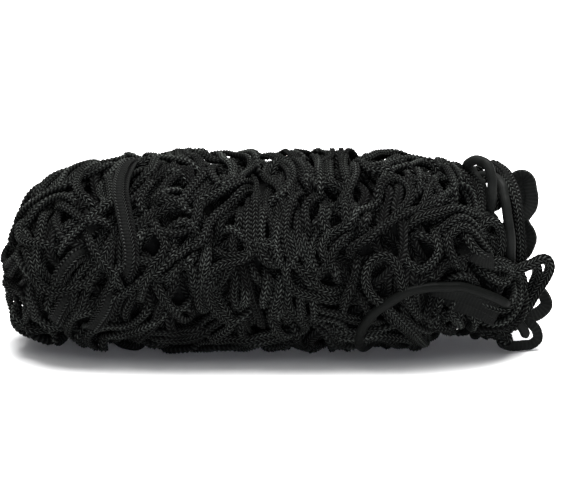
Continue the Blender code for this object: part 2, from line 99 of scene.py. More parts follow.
# Strands that show on the front, as points of (along, seen height). They are laid in this order.
FRONT_STRANDS = (
    (
        (-157, 70), (-156, 78), (-150, 86), (-141, 92), (-131, 98), (-122, 102), (-116, 108),
        (-108, 113), (-99, 117),
    ),
    (
        (-154, 68), (-149, 77), (-142, 85), (-135, 91), (-128, 94), (-122, 94), (-117, 91),
        (-114, 85),
    ),
    ((-102, 117), (-109, 113), (-114, 108), (-116, 101), (-113, 95), (-108, 91), (-104, 85)),
    (
        (-99, 112), (-96, 106), (-95, 99), (-95, 91), (-100, 86), (-107, 81), (-112, 76),
        (-117, 71), (-123, 65), (-130, 58),
    ),
    ((-136, 89), (-137, 82), (-138, 75), (-140, 67), (-141, 58), (-140, 49), (-137, 42)),
    ((-157, 63), (-154, 57), (-150, 51), (-147, 45), (-143, 40)),
    (
        (-152, 67), (-148, 61), (-144, 53), (-142, 45), (-138, 39), (-131, 35), (-122, 36),
        (-113, 39), (-104, 44), (-98, 49),
    ),
    ((-90, 71), (-95, 65), (-98, 57), (-102, 51), (-109, 44)),
    ((-112, 76), (-108, 68), (-105, 61), (-99, 53), (-93, 47), (-89, 39), (-86, 31)),
    ((-133, 90), (-127, 89), (-121, 86), (-114, 81), (-108, 78), (-100, 79), (-93, 76)),
    ((-136, 31), (-136, 25), (-133, 19), (-128, 16)),
    ((-149, 19), (-141, 15), (-133, 9), (-128, 4)),
    ((-157, 18), (-151, 12), (-142, 7), (-135, 3)),
    ((-100, 30), (-107, 27), (-114, 24), (-119, 19), (-126, 12)),
    ((-133, 67), (-127, 70), (-121, 75), (-116, 80), (-113, 85)),
    ((-151, 84), (-152, 76), (-151, 68), (-145, 65), (-138, 65), (-132, 63), (-126, 61)),
    ((-82, 115), (-71, 118), (-58, 117), (-47, 115), (-37, 112)),
    ((-30, 114), (-36, 108), (-41, 103), (-46, 97), (-50, 91), (-55, 86)),
    ((-29, 116), (-32, 110), (-30, 105), (-26, 101), (-21, 102), (-18, 106), (-19, 113)),
    ((-6, 108), (-13, 103), (-21, 99), (-29, 95), (-37, 92), (-44, 88)),
    (
        (-5, 103), (-11, 98), (-17, 92), (-23, 87), (-29, 82), (-33, 76), (-36, 68), (-41, 64),
        (-46, 61),
    ),
    ((-12, 91), (-13, 84), (-14, 75), (-14, 66)),
    (
        (-7, 96), (-8, 87), (-9, 77), (-9, 67), (-8, 59), (-14, 55), (-23, 53), (-31, 48),
        (-37, 41), (-39, 33), (-38, 25), (-33, 18),
    ),
    ((-23, 49), (-29, 44), (-33, 37), (-32, 28), (-27, 21), (-19, 16), (-11, 18), (-5, 22)),
    ((-3, 100), (-4, 90), (-4, 78), (-4, 67), (-1, 59), (4, 54), (11, 49)),
    (
        (-71, 85), (-67, 78), (-64, 71), (-60, 65), (-62, 58), (-67, 52), (-71, 44), (-74, 35),
        (-76, 26),
    ),
    ((-51, 67), (-55, 59), (-59, 52), (-64, 46)),
    ((-48, 56), (-53, 49), (-57, 42), (-58, 34)),
    ((-58, 68), (-55, 74), (-50, 78), (-45, 77), (-41, 73), (-41, 66)),
    ((-70, 45), (-65, 38), (-61, 31), (-56, 25), (-50, 23), (-44, 27)),
    ((-71, 96), (-63, 96), (-55, 98), (-48, 101)),
    ((-70, 91), (-62, 92), (-53, 91), (-47, 86), (-39, 84)),
    ((-70, 78), (-74, 72), (-77, 65), (-78, 57)),
    ((-11, 43), (-10, 35), (-10, 27), (-13, 21)),
    ((4, 47), (3, 38), (1, 29), (3, 20)),
    ((-37, 59), (-42, 57), (-46, 53), (-50, 48)),
    ((-72, 110), (-70, 103), (-74, 97), (-76, 90), (-71, 84)),
    ((-65, 106), (-58, 109), (-51, 108), (-46, 104)),
    ((1, 92), (1, 82), (0, 72), (1, 62), (4, 54)),
    ((11, 86), (10, 76), (9, 66), (11, 56), (15, 47)),
    (
        (26, 100), (20, 92), (17, 84), (15, 73), (16, 62), (20, 53), (26, 47), (32, 43),
        (37, 47), (42, 54), (46, 62), (51, 67), (58, 73),
    ),
    ((25, 89), (23, 80), (23, 68), (26, 58), (30, 51)),
    ((38, 99), (32, 93), (27, 86), (28, 76), (29, 66)),
    ((39, 84), (34, 77), (31, 70)),
    ((51, 99), (52, 89), (53, 78), (53, 70)),
    ((57, 94), (58, 85), (59, 75)),
    ((53, 56), (58, 63), (66, 68), (75, 75), (84, 81), (93, 85), (102, 89)),
    ((46, 56), (46, 47), (48, 38)),
    ((60, 58), (59, 49), (57, 40), (53, 31), (51, 23), (47, 15)),
    (
        (72, 72), (80, 78), (87, 85), (92, 91), (93, 98), (89, 103), (82, 105), (76, 102),
        (72, 95), (72, 87),
    ),
    ((24, 42), (24, 31), (25, 21), (28, 12)),
    ((32, 40), (32, 30), (33, 20), (32, 11)),
    ((4, 21), (8, 12), (13, 5), (22, 2)),
    ((17, 120), (23, 115), (28, 108), (29, 99)),
    ((32, 122), (36, 113), (37, 104), (36, 95)),
    ((43, 120), (42, 113), (43, 105), (48, 99)),
    ((53, 122), (51, 114), (53, 105), (56, 96)),
    ((38, 94), (39, 87), (38, 80), (41, 72), (43, 63)),
    ((4, 110), (9, 115), (15, 116), (19, 110), (18, 103), (14, 96), (8, 93), (3, 89)),
    ((75, 120), (83, 117), (91, 114), (97, 110)),
    ((60, 120), (64, 114), (70, 110), (79, 110), (86, 106)),
    ((13, 34), (13, 26), (11, 20), (12, 12)),
    ((64, 89), (66, 82), (64, 76), (60, 70)),
    ((88, 72), (94, 78), (103, 82), (112, 84), (121, 87), (128, 87)),
    ((88, 80), (97, 84), (105, 88), (114, 91), (123, 92)),
    ((91, 103), (100, 105), (108, 101), (112, 94), (110, 87), (107, 78)),
    ((114, 116), (118, 108), (121, 99), (124, 91)),
    ((121, 114), (126, 108), (131, 101), (134, 94), (137, 85)),
    ((107, 78), (109, 68), (110, 59), (105, 52), (98, 49), (91, 54), (89, 62)),
    ((127, 78), (128, 70), (132, 62), (139, 56), (147, 53)),
    ((133, 78), (138, 82), (145, 82), (150, 78), (153, 71), (153, 63), (150, 56)),
    ((117, 78), (116, 70), (117, 61), (121, 53), (127, 47)),
    ((97, 119), (103, 117), (109, 115), (115, 112)),
    ((137, 76), (140, 68), (144, 62)),
    ((74, 21), (82, 15), (91, 8), (99, 0), (107, -3)),
    ((90, 29), (89, 20), (94, 13), (103, 9), (112, 7)),
    ((110, 15), (119, 18), (125, 13), (127, 6)),
    ((132, 21), (136, 14), (135, 5)),
    ((69, 12), (71, 5), (77, 0)),
    ((91, 67), (98, 70), (105, 67), (109, 62)),
    ((99, 44), (107, 45), (114, 48)),
    ((100, 112), (105, 105), (109, 98)),
)

# The strand that crosses over the elastic cord on both sides of its own bend, and the one that
# hides the cord's end.
CROSSING_STRANDS = (
    (
        (103, 14), (98, 19), (94, 25), (91, 31), (88, 38), (86, 46), (83, 53), (78, 57), (72, 56),
        (67, 51), (65, 44), (66, 37), (69, 32), (74, 28), (79, 24), (84, 19), (90, 13), (96, 7),
        (101, 1), (105, -3),
    ),
    (
        (142, 54), (150, 53), (157, 49), (161, 43), (162, 36), (161, 28), (158, 21), (153, 16),
        (147, 13), (140, 12),
    ),
)

# Short stretches of the border band that come up between the strands.
BAND_SCRAPS = (
    ((-108, 61), (-115, 57), (-121, 51), (-126, 43), (-129, 34)),
    ((-118, 38), (-121, 31), (-125, 24), (-129, 17), (-133, 11)),
    ((-91, 39), (-94, 31), (-98, 22), (-104, 13), (-110, 5)),
)
BACK_SCRAPS = (
    ((126, 63), (131, 59), (137, 55), (144, 53), (150, 53)),
    ((104, 33), (111, 34), (118, 34), (126, 32), (134, 29), (141, 26), (148, 22), (155, 20)),
)

# The border band where it lies on the roll, as points of (along, seen height).
LEFT_BAND = (
    (-71, 117), (-77, 117), (-83, 115), (-86, 110), (-88, 103), (-88, 94), (-86, 85), (-84, 75),
    (-82, 66), (-81, 56), (-83, 47), (-86, 42),
)
LOW_BAND = ((116, 28), (123, 26), (131, 24), (138, 22), (144, 19), (149, 16), (154, 15))

# The elastic cord's sweep over the front, as points of (along, seen height).
ELASTIC_SWEEP = (
    (72, -4), (66, -4), (62, -1), (61, 4), (63, 11), (67, 17), (72, 23), (78, 27), (84, 31),
    (91, 35), (99, 37), (107, 38), (116, 38), (124, 38), (132, 36), (140, 33), (147, 30),
    (153, 27), (159, 25),
)

# Routes of the free cords, as points of (along, back, up). Both ends run into the roll.
ELASTIC_HAIRPIN = (
    (140, -3, 81), (141, -2, 87), (141, -1, 93), (140, 0, 99), (139, 1, 105), (136, 3, 109),
    (133, 5, 113), (130, 3, 117), (131, -1, 120), (135, -5, 123), (139, -9, 123), (142, -13, 122),
    (144, -16, 118), (145, -18, 113), (145, -19, 107), (145, -18, 100), (144, -15, 93),
    (143, -11, 87), (142, -7, 80),
)
ELASTIC_DROP = (
    (127, 14, 101), (132, 15, 105), (137, 14, 107), (142, 11, 109), (147, 6, 109), (150, 0, 108),
    (152, -6, 106), (153, -11, 101), (154, -15, 96), (155, -18, 89), (156, -20, 83),
    (157, -21, 75), (157, -21, 67), (157, -19, 59), (156, -15, 52), (156, -10, 44),
)
BORDER_FALL = (
    (130, 24, 103), (135, 24, 108), (140, 23, 111), (145, 21, 114), (149, 17, 113), (153, 11, 111),
    (156, 5, 107), (159, 0, 100), (160, -4, 93), (161, -6, 85), (162, -7, 77), (163, -7, 68),
    (163, -6, 60), (162, -3, 52), (159, 0, 44),
)
BORDER_LOOPS = (
    (156, 14, 49), (157, 17, 58), (157, 18, 67), (157, 18, 78), (157, 17, 88), (156, 16, 97),
    (157, 15, 103), (160, 14, 107), (163, 13, 109), (167, 12, 109), (170, 11, 106),
    (171, 10, 101), (172, 9, 95), (171, 8, 89), (168, 7, 85), (166, 6, 81), (168, 5, 77),
    (170, 4, 74), (171, 3, 70), (170, 3, 66), (168, 4, 61), (165, 6, 57), (162, 8, 52),
    (157, 10, 47),
)
BORDER_LOOP_LOW = (
    (157, 8, 26), (163, 8, 32), (169, 7, 36), (174, 6, 37), (178, 5, 34), (181, 4, 29),
    (181, 3, 25), (177, 2, 21), (172, 1, 19), (166, 1, 18), (161, 3, 18), (156, 6, 20),
)
NET_LOOP_SIDE = (
    (145, -32, 64), (151, -33, 61), (158, -31, 57), (165, -28, 59), (171, -25, 61),
    (176, -23, 63), (180, -21, 62), (182, -19, 57), (180, -17, 50), (176, -16, 43),
    (172, -15, 36), (168, -15, 29), (163, -14, 26), (156, -13, 25),
)
NET_LOOP_INNER = (
    (152, -24, 54), (159, -25, 56), (166, -22, 58), (171, -18, 58), (174, -15, 55),
    (174, -13, 50), (172, -11, 44), (170, -9, 38), (167, -7, 31), (163, -7, 25), (157, -7, 21),
)
NET_LOOP_LOW = (
    (153, -20, 27), (152, -22, 21), (152, -22, 15), (152, -20, 8), (156, -18, 5), (161, -16, 4),
    (166, -14, 4), (171, -12, 4), (175, -11, 7), (175, -10, 11), (173, -10, 15), (169, -10, 18),
    (163, -12, 17), (156, -13, 16),
)
# Folds of the border band behind its end loops, and net strands and an elastic stub at the end.
END_FOLDS = (
    ((156, 20, 100), (161, 16, 103), (166, 15, 99), (167, 14, 92), (165, 13, 85), (159, 13, 80)),
    ((157, 14, 80), (163, 12, 76), (166, 10, 71), (165, 10, 65), (158, 12, 62)),
)
END_STRANDS = (
    (
        (122, 8, 107), (128, 5, 111), (133, -2, 111), (137, -10, 107), (138, -20, 100),
        (138, -28, 92), (136, -34, 84), (131, -40, 76), (126, -44, 70),
    ),
    (
        (120, -2, 108), (127, -8, 108), (131, -17, 103), (132, -26, 96), (131, -34, 88),
        (127, -41, 79), (121, -47, 71),
    ),
    (
        (130, -40, 78), (136, -38, 85), (142, -35, 91), (147, -32, 89), (150, -30, 83),
        (151, -30, 75), (149, -31, 68), (144, -34, 61), (137, -38, 56),
    ),
    (
        (132, -36, 72), (138, -35, 78), (143, -33, 80), (145, -32, 74), (143, -33, 66),
        (137, -36, 60),
    ),
    ((138, 10, 107), (145, 6, 107), (149, 2, 101), (150, 0, 95), (149, 0, 92), (143, 2, 88)),
    (
        (148, -28, 57), (156, -26, 56), (162, -23, 54), (165, -20, 49), (165, -18, 43),
        (163, -16, 36), (161, -15, 30), (154, -14, 24),
    ),
    ((142, -24, 19), (150, -27, 18), (155, -27, 14), (156, -26, 10), (152, -22, 9), (149, -16, 12)),
    (
        (141, 20, 105), (146, 16, 108), (151, 9, 109), (155, 1, 107), (159, -6, 101),
        (162, -11, 92), (163, -13, 80), (164, -14, 67), (163, -14, 56), (157, -12, 48),
    ),
)
ELASTIC_STUB = (
    (152, -12, 28), (158, -15, 23), (163, -17, 19), (166, -18, 15), (168, -19, 10),
)
TOWARDS_FRONT = (0.0, -1.0, 0.2)
TOWARDS_FRONT_AND_END = (0.3, -0.85, 0.4)
ACROSS_THE_END = (0.0, 1.0, 0.25)
UPWARDS = (0.0, 0.7, 1.6)
# The height over which the falling band's broad side turns upwards, and over how much.
FALL_TURN = (101.0, 9.0)
# How much a loop's broad side turns towards the front.
LOOP_TURN = 1.3

# A cord's outline, as points of (across, up, stitch depth, lean, place in the row). Across runs to 1 at
# the cord's edge and up to 1 at its top. The lean is how far a stitch runs on there, and the place is 0
# in the groove between two rows of stitches, 1 at their edge and 2 on plain cloth. The finish paints
# shade where the place is low, so the grooves and the cord's sides and underside come out darker.
KNITTED_OUTLINE = (
    (1.0, 0.0, 0.3, -0.1, 0.12), (0.85, 0.6, 0.9, 0.15, 0.24), (0.68, 0.5, 0.3, 0.5, 0.0),
    (0.36, 1.0, 1.0, 0.0, 0.8), (0.0, 0.45, 0.3, -0.5, 0.0), (-0.36, 1.0, 1.0, 0.0, 0.8),
    (-0.68, 0.5, 0.3, 0.5, 0.0), (-0.85, 0.6, 0.9, 0.15, 0.24), (-1.0, 0.0, 0.3, -0.1, 0.12),
    (-0.6, -0.85, 0.6, -0.3, 0.14), (0.6, -0.85, 0.6, -0.3, 0.14),
)
PLAIN_OUTLINE = (
    (1.0, 0.0, 1.0, 0.5, 1.0), (0.62, 0.85, 1.0, 0.1, 0.6), (0.0, 0.66, 0.4, -0.5, 0.0),
    (-0.62, 0.85, 1.0, 0.1, 0.6), (-1.0, 0.0, 1.0, 0.5, 1.0), (-0.55, -0.85, 0.8, 0.0, 0.5),
    (0.55, -0.85, 0.8, 0.0, 0.5),
)
# The band's face is a plain strip between a row of stitches along one edge and two rows along the
# other, and its back is plain between two thin edges.
BAND_OUTLINE = (
    (1.0, 0.0, 0.2, 0.3, 1.0), (0.92, 0.65, 0.8, 0.1, 0.7), (0.76, 0.9, 1.0, -0.3, 0.3),
    (0.62, 0.5, 0.3, -0.2, 1.3), (0.5, 0.8, 0.3, 0.0, 2.0), (0.2, 0.95, 0.3, 0.0, 2.0),
    (-0.08, 0.8, 0.3, 0.0, 2.0), (-0.18, 0.5, 0.3, 0.2, 1.3), (-0.34, 0.95, 1.0, -0.2, 0.35),
    (-0.52, 0.6, 0.6, -0.5, 0.0), (-0.72, 1.0, 1.0, -0.2, 0.35), (-0.92, 0.65, 0.8, 0.25, 0.75),
    (-1.0, 0.0, 0.2, 0.5, 1.0), (-0.7, -0.9, 0.6, 0.2, 1.0), (-0.1, -1.0, 0.0, 0.0, 2.0),
    (0.4, -1.0, 0.0, 0.0, 2.0), (0.8, -0.85, 0.8, 0.1, 0.8),
)
BAND_BACK_OUTLINE = (
    (1.0, 0.0, 0.1, 0.0, 2.0), (0.95, 0.7, 0.2, 0.0, 1.5), (0.86, 0.8, 0.1, 0.0, 1.9),
    (0.72, 0.6, 0.05, 0.0, 2.0), (0.0, 0.8, 0.05, 0.0, 2.0), (-0.72, 0.6, 0.05, 0.0, 2.0),
    (-0.86, 0.8, 0.1, 0.0, 1.9), (-0.95, 0.7, 0.2, 0.0, 1.5), (-1.0, 0.0, 0.1, 0.0, 2.0),
    (-0.6, -0.9, 0.0, 0.0, 2.0), (0.6, -0.9, 0.0, 0.0, 2.0),
)
ROUND_SIDES = 16
# Each ring of a stitch, from its groove up to its crown: the share that it adds to the outline.
STITCH_RINGS = (-1.0, 0.25, 0.9)
STITCH_PAIR = (-0.8, 0.8)
STITCH_DEPTH = 0.42
STITCH_SLANT = 3.5

# The pile of strands: the step between a route's points, the number of stations on the roll's chart,
# and the side, lowest corner and numbers of the cells that hold the pile's height.
STEP = 1.5
CHART_STATIONS = 1200
CELL = 2.0
PILE_CORNER = (-190.0, -90.0, -20.0)
PILE_CELLS = (190, 90, 80)
# Where across a strand its ground is felt, and how far it presses into that ground.
FOOTPRINT = (-2.0, 0.0, 2.0)
PRESS = 0.5
# How far a cord bridges the dips under it, and over what length its bends are eased.
BRIDGE, EASE = 6.0, 3.0
BAND_BRIDGE, BAND_EASE = 9.0, 5.0
ELASTIC_BRIDGE, ELASTIC_EASE = 36.0, 10.0
# How much wider the band is where it lies flat on the roll.
LAID_SPREAD = 1.08
# Over how much of its length, and how deep, a strand tucks in at its ends.
TUCK_RUN = 12.0
TUCK = 10.0
# Strands may reach up to the outer surface, or less high where they face the floor. What lies
# higher than the firm depth under that is pressed together.
LOW_DEPTH = 4.5
FIRM_DEPTH = 2.5
LOOSE_RISE = 4.0
# The share of the way between two chosen points at which a smooth route has its own.
ROUTE_SHARE = 0.05

# How strands wander: each wave of their heading is (size in radians, shortest, longest).
HEADING_WAVES = ((0.42, 48, 90), (0.26, 22, 36))
TWIST_WAVES = ((0.65, 45, 90), (0.3, 25, 40))
LEAST_WAVE = 0.6
# How a layer's heading drifts over the roll: (size in radians, run of one radian, turns about it).
DRIFT_WAVES = ((0.7, 34, 1), (0.6, 17, -2), (0.4, 50, 3))
# Strands turn back this near a tip, and none comes nearer to it than the second.
POLE_GAP = 6.0
TIP_GAP = 1.0
# Two strands of one mesh: the length and opening of a mesh, and how sharply it closes.
MESH_LENGTHS = (40, 60)
MESH_OPENINGS = (1, 8)
MESH_SHARPNESS = 1.5
PAIRED = 0.55
STRAND_LENGTHS = (70, 190)
SHORT_LENGTHS = (40, 80)
SHORTEST = 30.0
# A strand ends where it comes this near a place of its own that is further off along it.
OWN_RUN = 14.0
OWN_GAP = 6.0
# Places where a layer may start a strand, and routes tried at each.
SPOTS = 6000
TRIES = 6
LAYING_SEED = 11
TONE_SEED = 7
# How far under the highest place the ground must lie for a strand: where it starts, and on average.
INNER_GROUND = (9.5, 9.5)
MIDDLE_GROUND = (7.0, 7.0)
OUTER_GROUND = (5.5, 5.0)
PIT_GROUND = (7.5, 4.0)

CORE_RINGS = 90
CORE_SIDES = 72
STITCH_ONCE = (0.0,)
# How much of a stitch's swelling shows at the cord's edges.
EDGE_SHARE = 0.5
# Over how much of its length a cord narrows at its ends, and by what share.
FLAT_END = (7.0, 0.6)
ROUND_END = (3.0, 0.75)
ELASTIC_RING = 1.5
# Shares of the cord's colour that strands show, each drawn at random within its range. The lower shares
# of the inner and middle strands are painted shade, for lying deeper in the roll. The higher shares of
# the end loops and folds are painted light.
INNER_TONES_IN_PAINTED_SHADE = (0.2, 0.4)
MIDDLE_TONES_IN_PAINTED_SHADE = (0.3, 0.7)
OUTER_TONES = (0.55, 1.25)
LOOSE_TONES = (0.8, 1.0)
END_TONES_IN_PAINTED_LIGHT = (2.1, 2.3)
# How much of the lighter dust colour the elastic cord shows where it lies on the roll, and where it
# stands up. The dust patches are real; the high share where the cord stands up is painted light, and
# the low share where it lies on the roll is painted shade.
LAID_WEAR_AND_PAINTED_SHADE = (0.3, 0.4)
RAISED_WEAR_AND_PAINTED_LIGHT = (1.8, 2.0)
STRANDS_A_PIECE = 60
# Finishes: filaments in a stitch, how light plain cloth is, and how much light the surfaces throw.
FILAMENTS = 4
PLAIN_SHARE = 0.13
SPECULAR = 0.08
SHEATH_SPECULAR = 0.03
CORE_SPECULAR = 0.1
YARN_ROUGHNESS = 0.5
BAND_ROUGHNESS = 0.45
SHEATH_ROUGHNESS = 0.45
# Sizes of patches of dust on the yarn and on the sheath, of fuzz, of packed netting, of paper grain.
YARN_DUST = 14
SHEATH_DUST = 9
FUZZ = 0.7
PACKED_CELL = 5
PAPER_GRAIN = 4
# How many strands of the braided sheath lean each way about the cord.
SHEATH_STRANDS = 8.0

# Side of the floor, the place that the lamps face, and each lamp's name, place and side, all in
# metres, and its power in watts and colour.
FLOOR_SIDE = 8.0
LAMP_TARGET = (0, 0, 0.06)
LAMPS = (
    ("key", (-0.5, -1.2, 1.8), 1.4, 12.0, "#ffffff"),
    ("low", (0.1, -1.5, 0.1), 0.6, 13.0, "#f0f2ff"),
    ("top", (0.1, 0.2, 2.2), 2.0, 190.0, "#ffffff"),
)


def linear(hex_colour):
    """The linear colour of an sRGB hex value."""
    channels = [int(hex_colour[i : i + 2], 16) / 255 for i in (1, 3, 5)]
    return [c / 12.92 if c <= 0.04045 else ((c + 0.055) / 1.055) ** 2.4 for c in channels]


# --- the roll's shape ---


def sections_at(along):
    """Middle, rise, drop and depth there, on a smooth curve through the table."""
    table = np.array(SECTIONS, float)
    stations = table[:, 0]
    slopes = np.gradient(table[:, 1:], stations, axis=0)
    along = np.clip(along, stations[0], stations[-1])
    row = np.clip(np.searchsorted(stations, along, side="right") - 1, 0, len(stations) - 2)
    gap = (stations[row + 1] - stations[row])[:, None]
    t = (along - stations[row])[:, None] / gap
    return (
        table[row, 1:] * (1 + 2 * t) * (1 - t) ** 2
        + slopes[row] * gap * t * (1 - t) ** 2
        + table[row + 1, 1:] * t * t * (3 - 2 * t)
        + slopes[row + 1] * gap * t * t * (t - 1)
    ).T


def outer_points(along, angle):
    """Points of the roll's outer surface, which the floor presses flat."""
    middle, rise, drop, depth = sections_at(along)
    up = middle + np.where(np.sin(angle) > 0, rise, drop) * np.sin(angle)
    up = FLOOR_SOFTNESS * np.logaddexp(0, up / FLOOR_SOFTNESS)
    return np.stack([along, -depth * np.cos(angle), up], axis=-1)


def core_points(along, angle):
    """Points on the core, and the directions out of it, away from the roll's spine."""
    points = outer_points(along, angle)
    spine = np.zeros(points.shape)
    spine[:, 0] = np.clip(along, *SPINE)
    spine[:, 2] = sections_at(along)[0]
    out = unit(points - spine)
    return points - inset(out)[:, None] * out, out


def inset(out):
    """How deep the core lies under the outer surface that faces that way."""
    return CORE_INSET + LOW_INSET * np.maximum(-out[:, 2], 0) - TIP_INSET * np.maximum(-out[:, 0], 0)


def room(out):
    """How high over the core strands may lie on the side that faces that way."""
    return inset(out) - LOW_DEPTH * np.maximum(-out[:, 2], 0)


def unit(vectors):
    return vectors / np.maximum(np.linalg.norm(vectors, axis=-1, keepdims=True), 1e-9)


class Chart:
    """A map of the roll by distance along its side and angle about it."""

    def __init__(self):
        self.along = np.linspace(SECTIONS[0][0], SECTIONS[-1][0], CHART_STATIONS)
        _, rise, drop, depth = sections_at(self.along)
        self.radius = np.sqrt(np.maximum(depth * (rise + drop) / 2, 1.0))
        run = np.hypot(np.diff(self.along), np.diff(self.radius))
        self.run = np.concatenate([[0], np.cumsum(run)])
        self.last = self.run[-1]

    def along_at(self, run):
        return np.interp(run, self.run, self.along)

    def radius_at(self, run):
        return np.interp(run, self.run, self.radius)


def angle_seen(along, height):
    """The angle about the roll of the front point that the view shows at that height."""
    middle, rise, drop, depth = sections_at(along)
    tilt = math.radians(VIEW_ELEVATION)
    above = height - middle * math.cos(tilt)
    reach = np.where(above > 0, rise, drop) * math.cos(tilt)
    across = depth * math.sin(tilt)
    share = np.clip(above / np.hypot(reach, across), -1, 1)
    return np.arctan2(across, reach) + np.arcsin(share)


def smooth_route(points, step):
    """Even points on a smooth curve through the route's own points."""
    points = [np.array(p, float) for p in points]
    padded = [2 * points[0] - points[1], *points, 2 * points[-1] - points[-2]]
    fine = []
    for a, b, c, d in zip(padded, padded[1:], padded[2:], padded[3:]):
        for t in np.arange(0, 1, ROUTE_SHARE):
            linear_part = 2 * b + (c - a) * t
            curved_part = (2 * a - 5 * b + 4 * c - d) * t**2 + (3 * b - a - 3 * c + d) * t**3
            fine.append((linear_part + curved_part) / 2)
    return even(np.array([*fine, points[-1]]), step)


def even(points, step):
    """The same line again, with points an even step apart."""
    run = run_of(points)
    stations = np.linspace(0, run[-1], max(3, round(run[-1] / step) + 1))
    return np.stack([np.interp(stations, run, column) for column in points.T], axis=1)


def run_of(points):
    return np.concatenate([[0], np.cumsum(np.linalg.norm(np.diff(points, axis=0), axis=1))])


def seen_route(rows):
    """Along and angle of a front route, from its (along, seen height)."""
    rows = smooth_route(rows, STEP)
    return rows[:, 0], angle_seen(rows[:, 0], rows[:, 1])


# --- laying the strands ---


class Pile:
    """How high strands already lie over the core, kept in small cells of space."""

    def __init__(self):
        self.low = np.array(PILE_CORNER)
        self.tops = np.zeros(PILE_CELLS)

    def cells(self, points):
        return tuple(np.moveaxis(np.floor((points - self.low) / CELL).astype(int), -1, 0))

    def height(self, points):
        return self.tops[self.cells(points)]

    def add(self, points, tops):
        for corner in np.ndindex(2, 2, 2):
            cells = self.cells(points + (np.array(corner) - 0.5) * CELL)
            np.maximum.at(self.tops, cells, tops)


def windowed(values, reach, take):
    """The highest or lowest of the neighbours within that many places."""
    padded = np.pad(values, reach, mode="edge")
    return take(np.lib.stride_tricks.sliding_window_view(padded, 2 * reach + 1), axis=1)


def eased(values, width):
    """The values with their steps smoothed over that many places."""
    reach = int(3 * width)
    weights = np.exp(-0.5 * (np.arange(-reach, reach + 1) / width) ** 2)
    return np.convolve(np.pad(values, reach, mode="edge"), weights / weights.sum(), mode="valid")


def packed(height, firm):
    """The height with all above the firm depth pressed together, more so the higher it lies."""
    above = np.maximum(height - firm, 0)
    return np.minimum(height, firm) + LOOSE_RISE * (1 - np.exp(-above / LOOSE_RISE))


def lay(pile, base, normals, size, twist, bridge=BRIDGE, ease=EASE):
    """Lays one strand on the pile. Returns its line and the direction of its flat side."""
    along = unit(np.gradient(base, axis=0))
    across = unit(np.cross(along, normals))
    feet = base[:, None] + across[:, None] * np.array(FOOTPRINT)[:, None]
    half_height = np.hypot(size[0] / 2 * np.sin(twist), size[1] / 2 * np.cos(twist))
    centre = pile.height(feet).max(axis=1) + half_height - PRESS
    reach = round(bridge / STEP)
    bridged = windowed(windowed(centre, reach, np.max), reach, np.min)
    centre = eased(bridged, ease / STEP)
    pile.add(feet, np.repeat((centre + half_height - PRESS)[:, None], len(FOOTPRINT), axis=1))
    run = run_of(base)
    from_end = np.minimum(run, run[-1] - run)
    centre = packed(centre, room(normals) - FIRM_DEPTH)
    centre = centre - TUCK * np.clip(1 - from_end / TUCK_RUN, 0, 1) ** 2
    line = base + normals * centre[:, None]
    flat = normals * np.cos(twist)[:, None] + across * np.sin(twist)[:, None]
    return line, flat


def swings(random, distance, kinds):
    """A smooth wander: the sum of waves, each of (size, shortest, longest)."""
    total = np.zeros(len(distance))
    for size, shortest, longest in kinds:
        wave = 2 * math.pi * distance / random.uniform(shortest, longest)
        height = size * random.uniform(LEAST_WAVE, 1.0)
        total += height * np.sin(wave + random.uniform(0, 2 * math.pi))
    return total


def drift(random):
    """Which way the strands of a layer run: mostly round the roll, and changing slowly over it."""
    phases = random.uniform(0, 2 * math.pi, len(DRIFT_WAVES))

    def heading(run, angle):
        total = math.pi / 2
        for (size, radian, turns), phase in zip(DRIFT_WAVES, phases):
            total = total + size * np.sin(run / radian + turns * angle + phase)
        return total

    return heading


def meanders(random, chart, start, length, heading_at):
    """Several wandering routes from the start, each as its run, its angle and its heading."""
    distance = np.arange(0, length, STEP)
    wander = np.stack([swings(random, distance, HEADING_WAVES) for _ in range(TRIES)])
    run, angle = np.full(TRIES, start[0]), np.full(TRIES, start[1])
    way = np.ones(TRIES)
    rows = []
    for turn in wander.T:
        heading = heading_at(run, angle) + turn
        rows.append((run, angle, heading))
        way = np.where(run < POLE_GAP, 1.0, np.where(run > chart.last - POLE_GAP, -1.0, way))
        run = run + np.cos(heading) * way * STEP
        angle = angle + np.sin(heading) * STEP / chart.radius_at(run)
    return [tuple(np.array(rows)[:, :, number].T) for number in range(TRIES)]


def beside(chart, route, offset):
    """The same route, moved sideways over the roll by that offset."""
    run, angle, heading = route
    moved = np.clip(run - offset * np.sin(heading), TIP_GAP, chart.last - TIP_GAP)
    return moved, angle + offset * np.cos(heading) / chart.radius_at(run), heading


def parted(random, route, width):
    """How far the two strands of a mesh lie from its middle line: they touch, part and meet."""
    distance = np.arange(len(route[0])) * STEP
    wave = 2 * math.pi * (distance / random.uniform(*MESH_LENGTHS) + random.uniform(0, 1))
    opening = random.uniform(*MESH_OPENINGS) * (0.5 - 0.5 * np.cos(wave)) ** MESH_SHARPNESS
    return width / 2 + opening


def clear_run(points):
    """How many points come before the line meets itself."""
    gaps = np.linalg.norm(points[:, None] - points[None], axis=2)
    places = np.arange(len(points))
    own = np.abs(places[:, None] - places[None]) * STEP < OWN_RUN
    met = ((gaps < OWN_GAP) & ~own).any(axis=1)
    return int(np.argmax(met)) if met.any() else len(points)


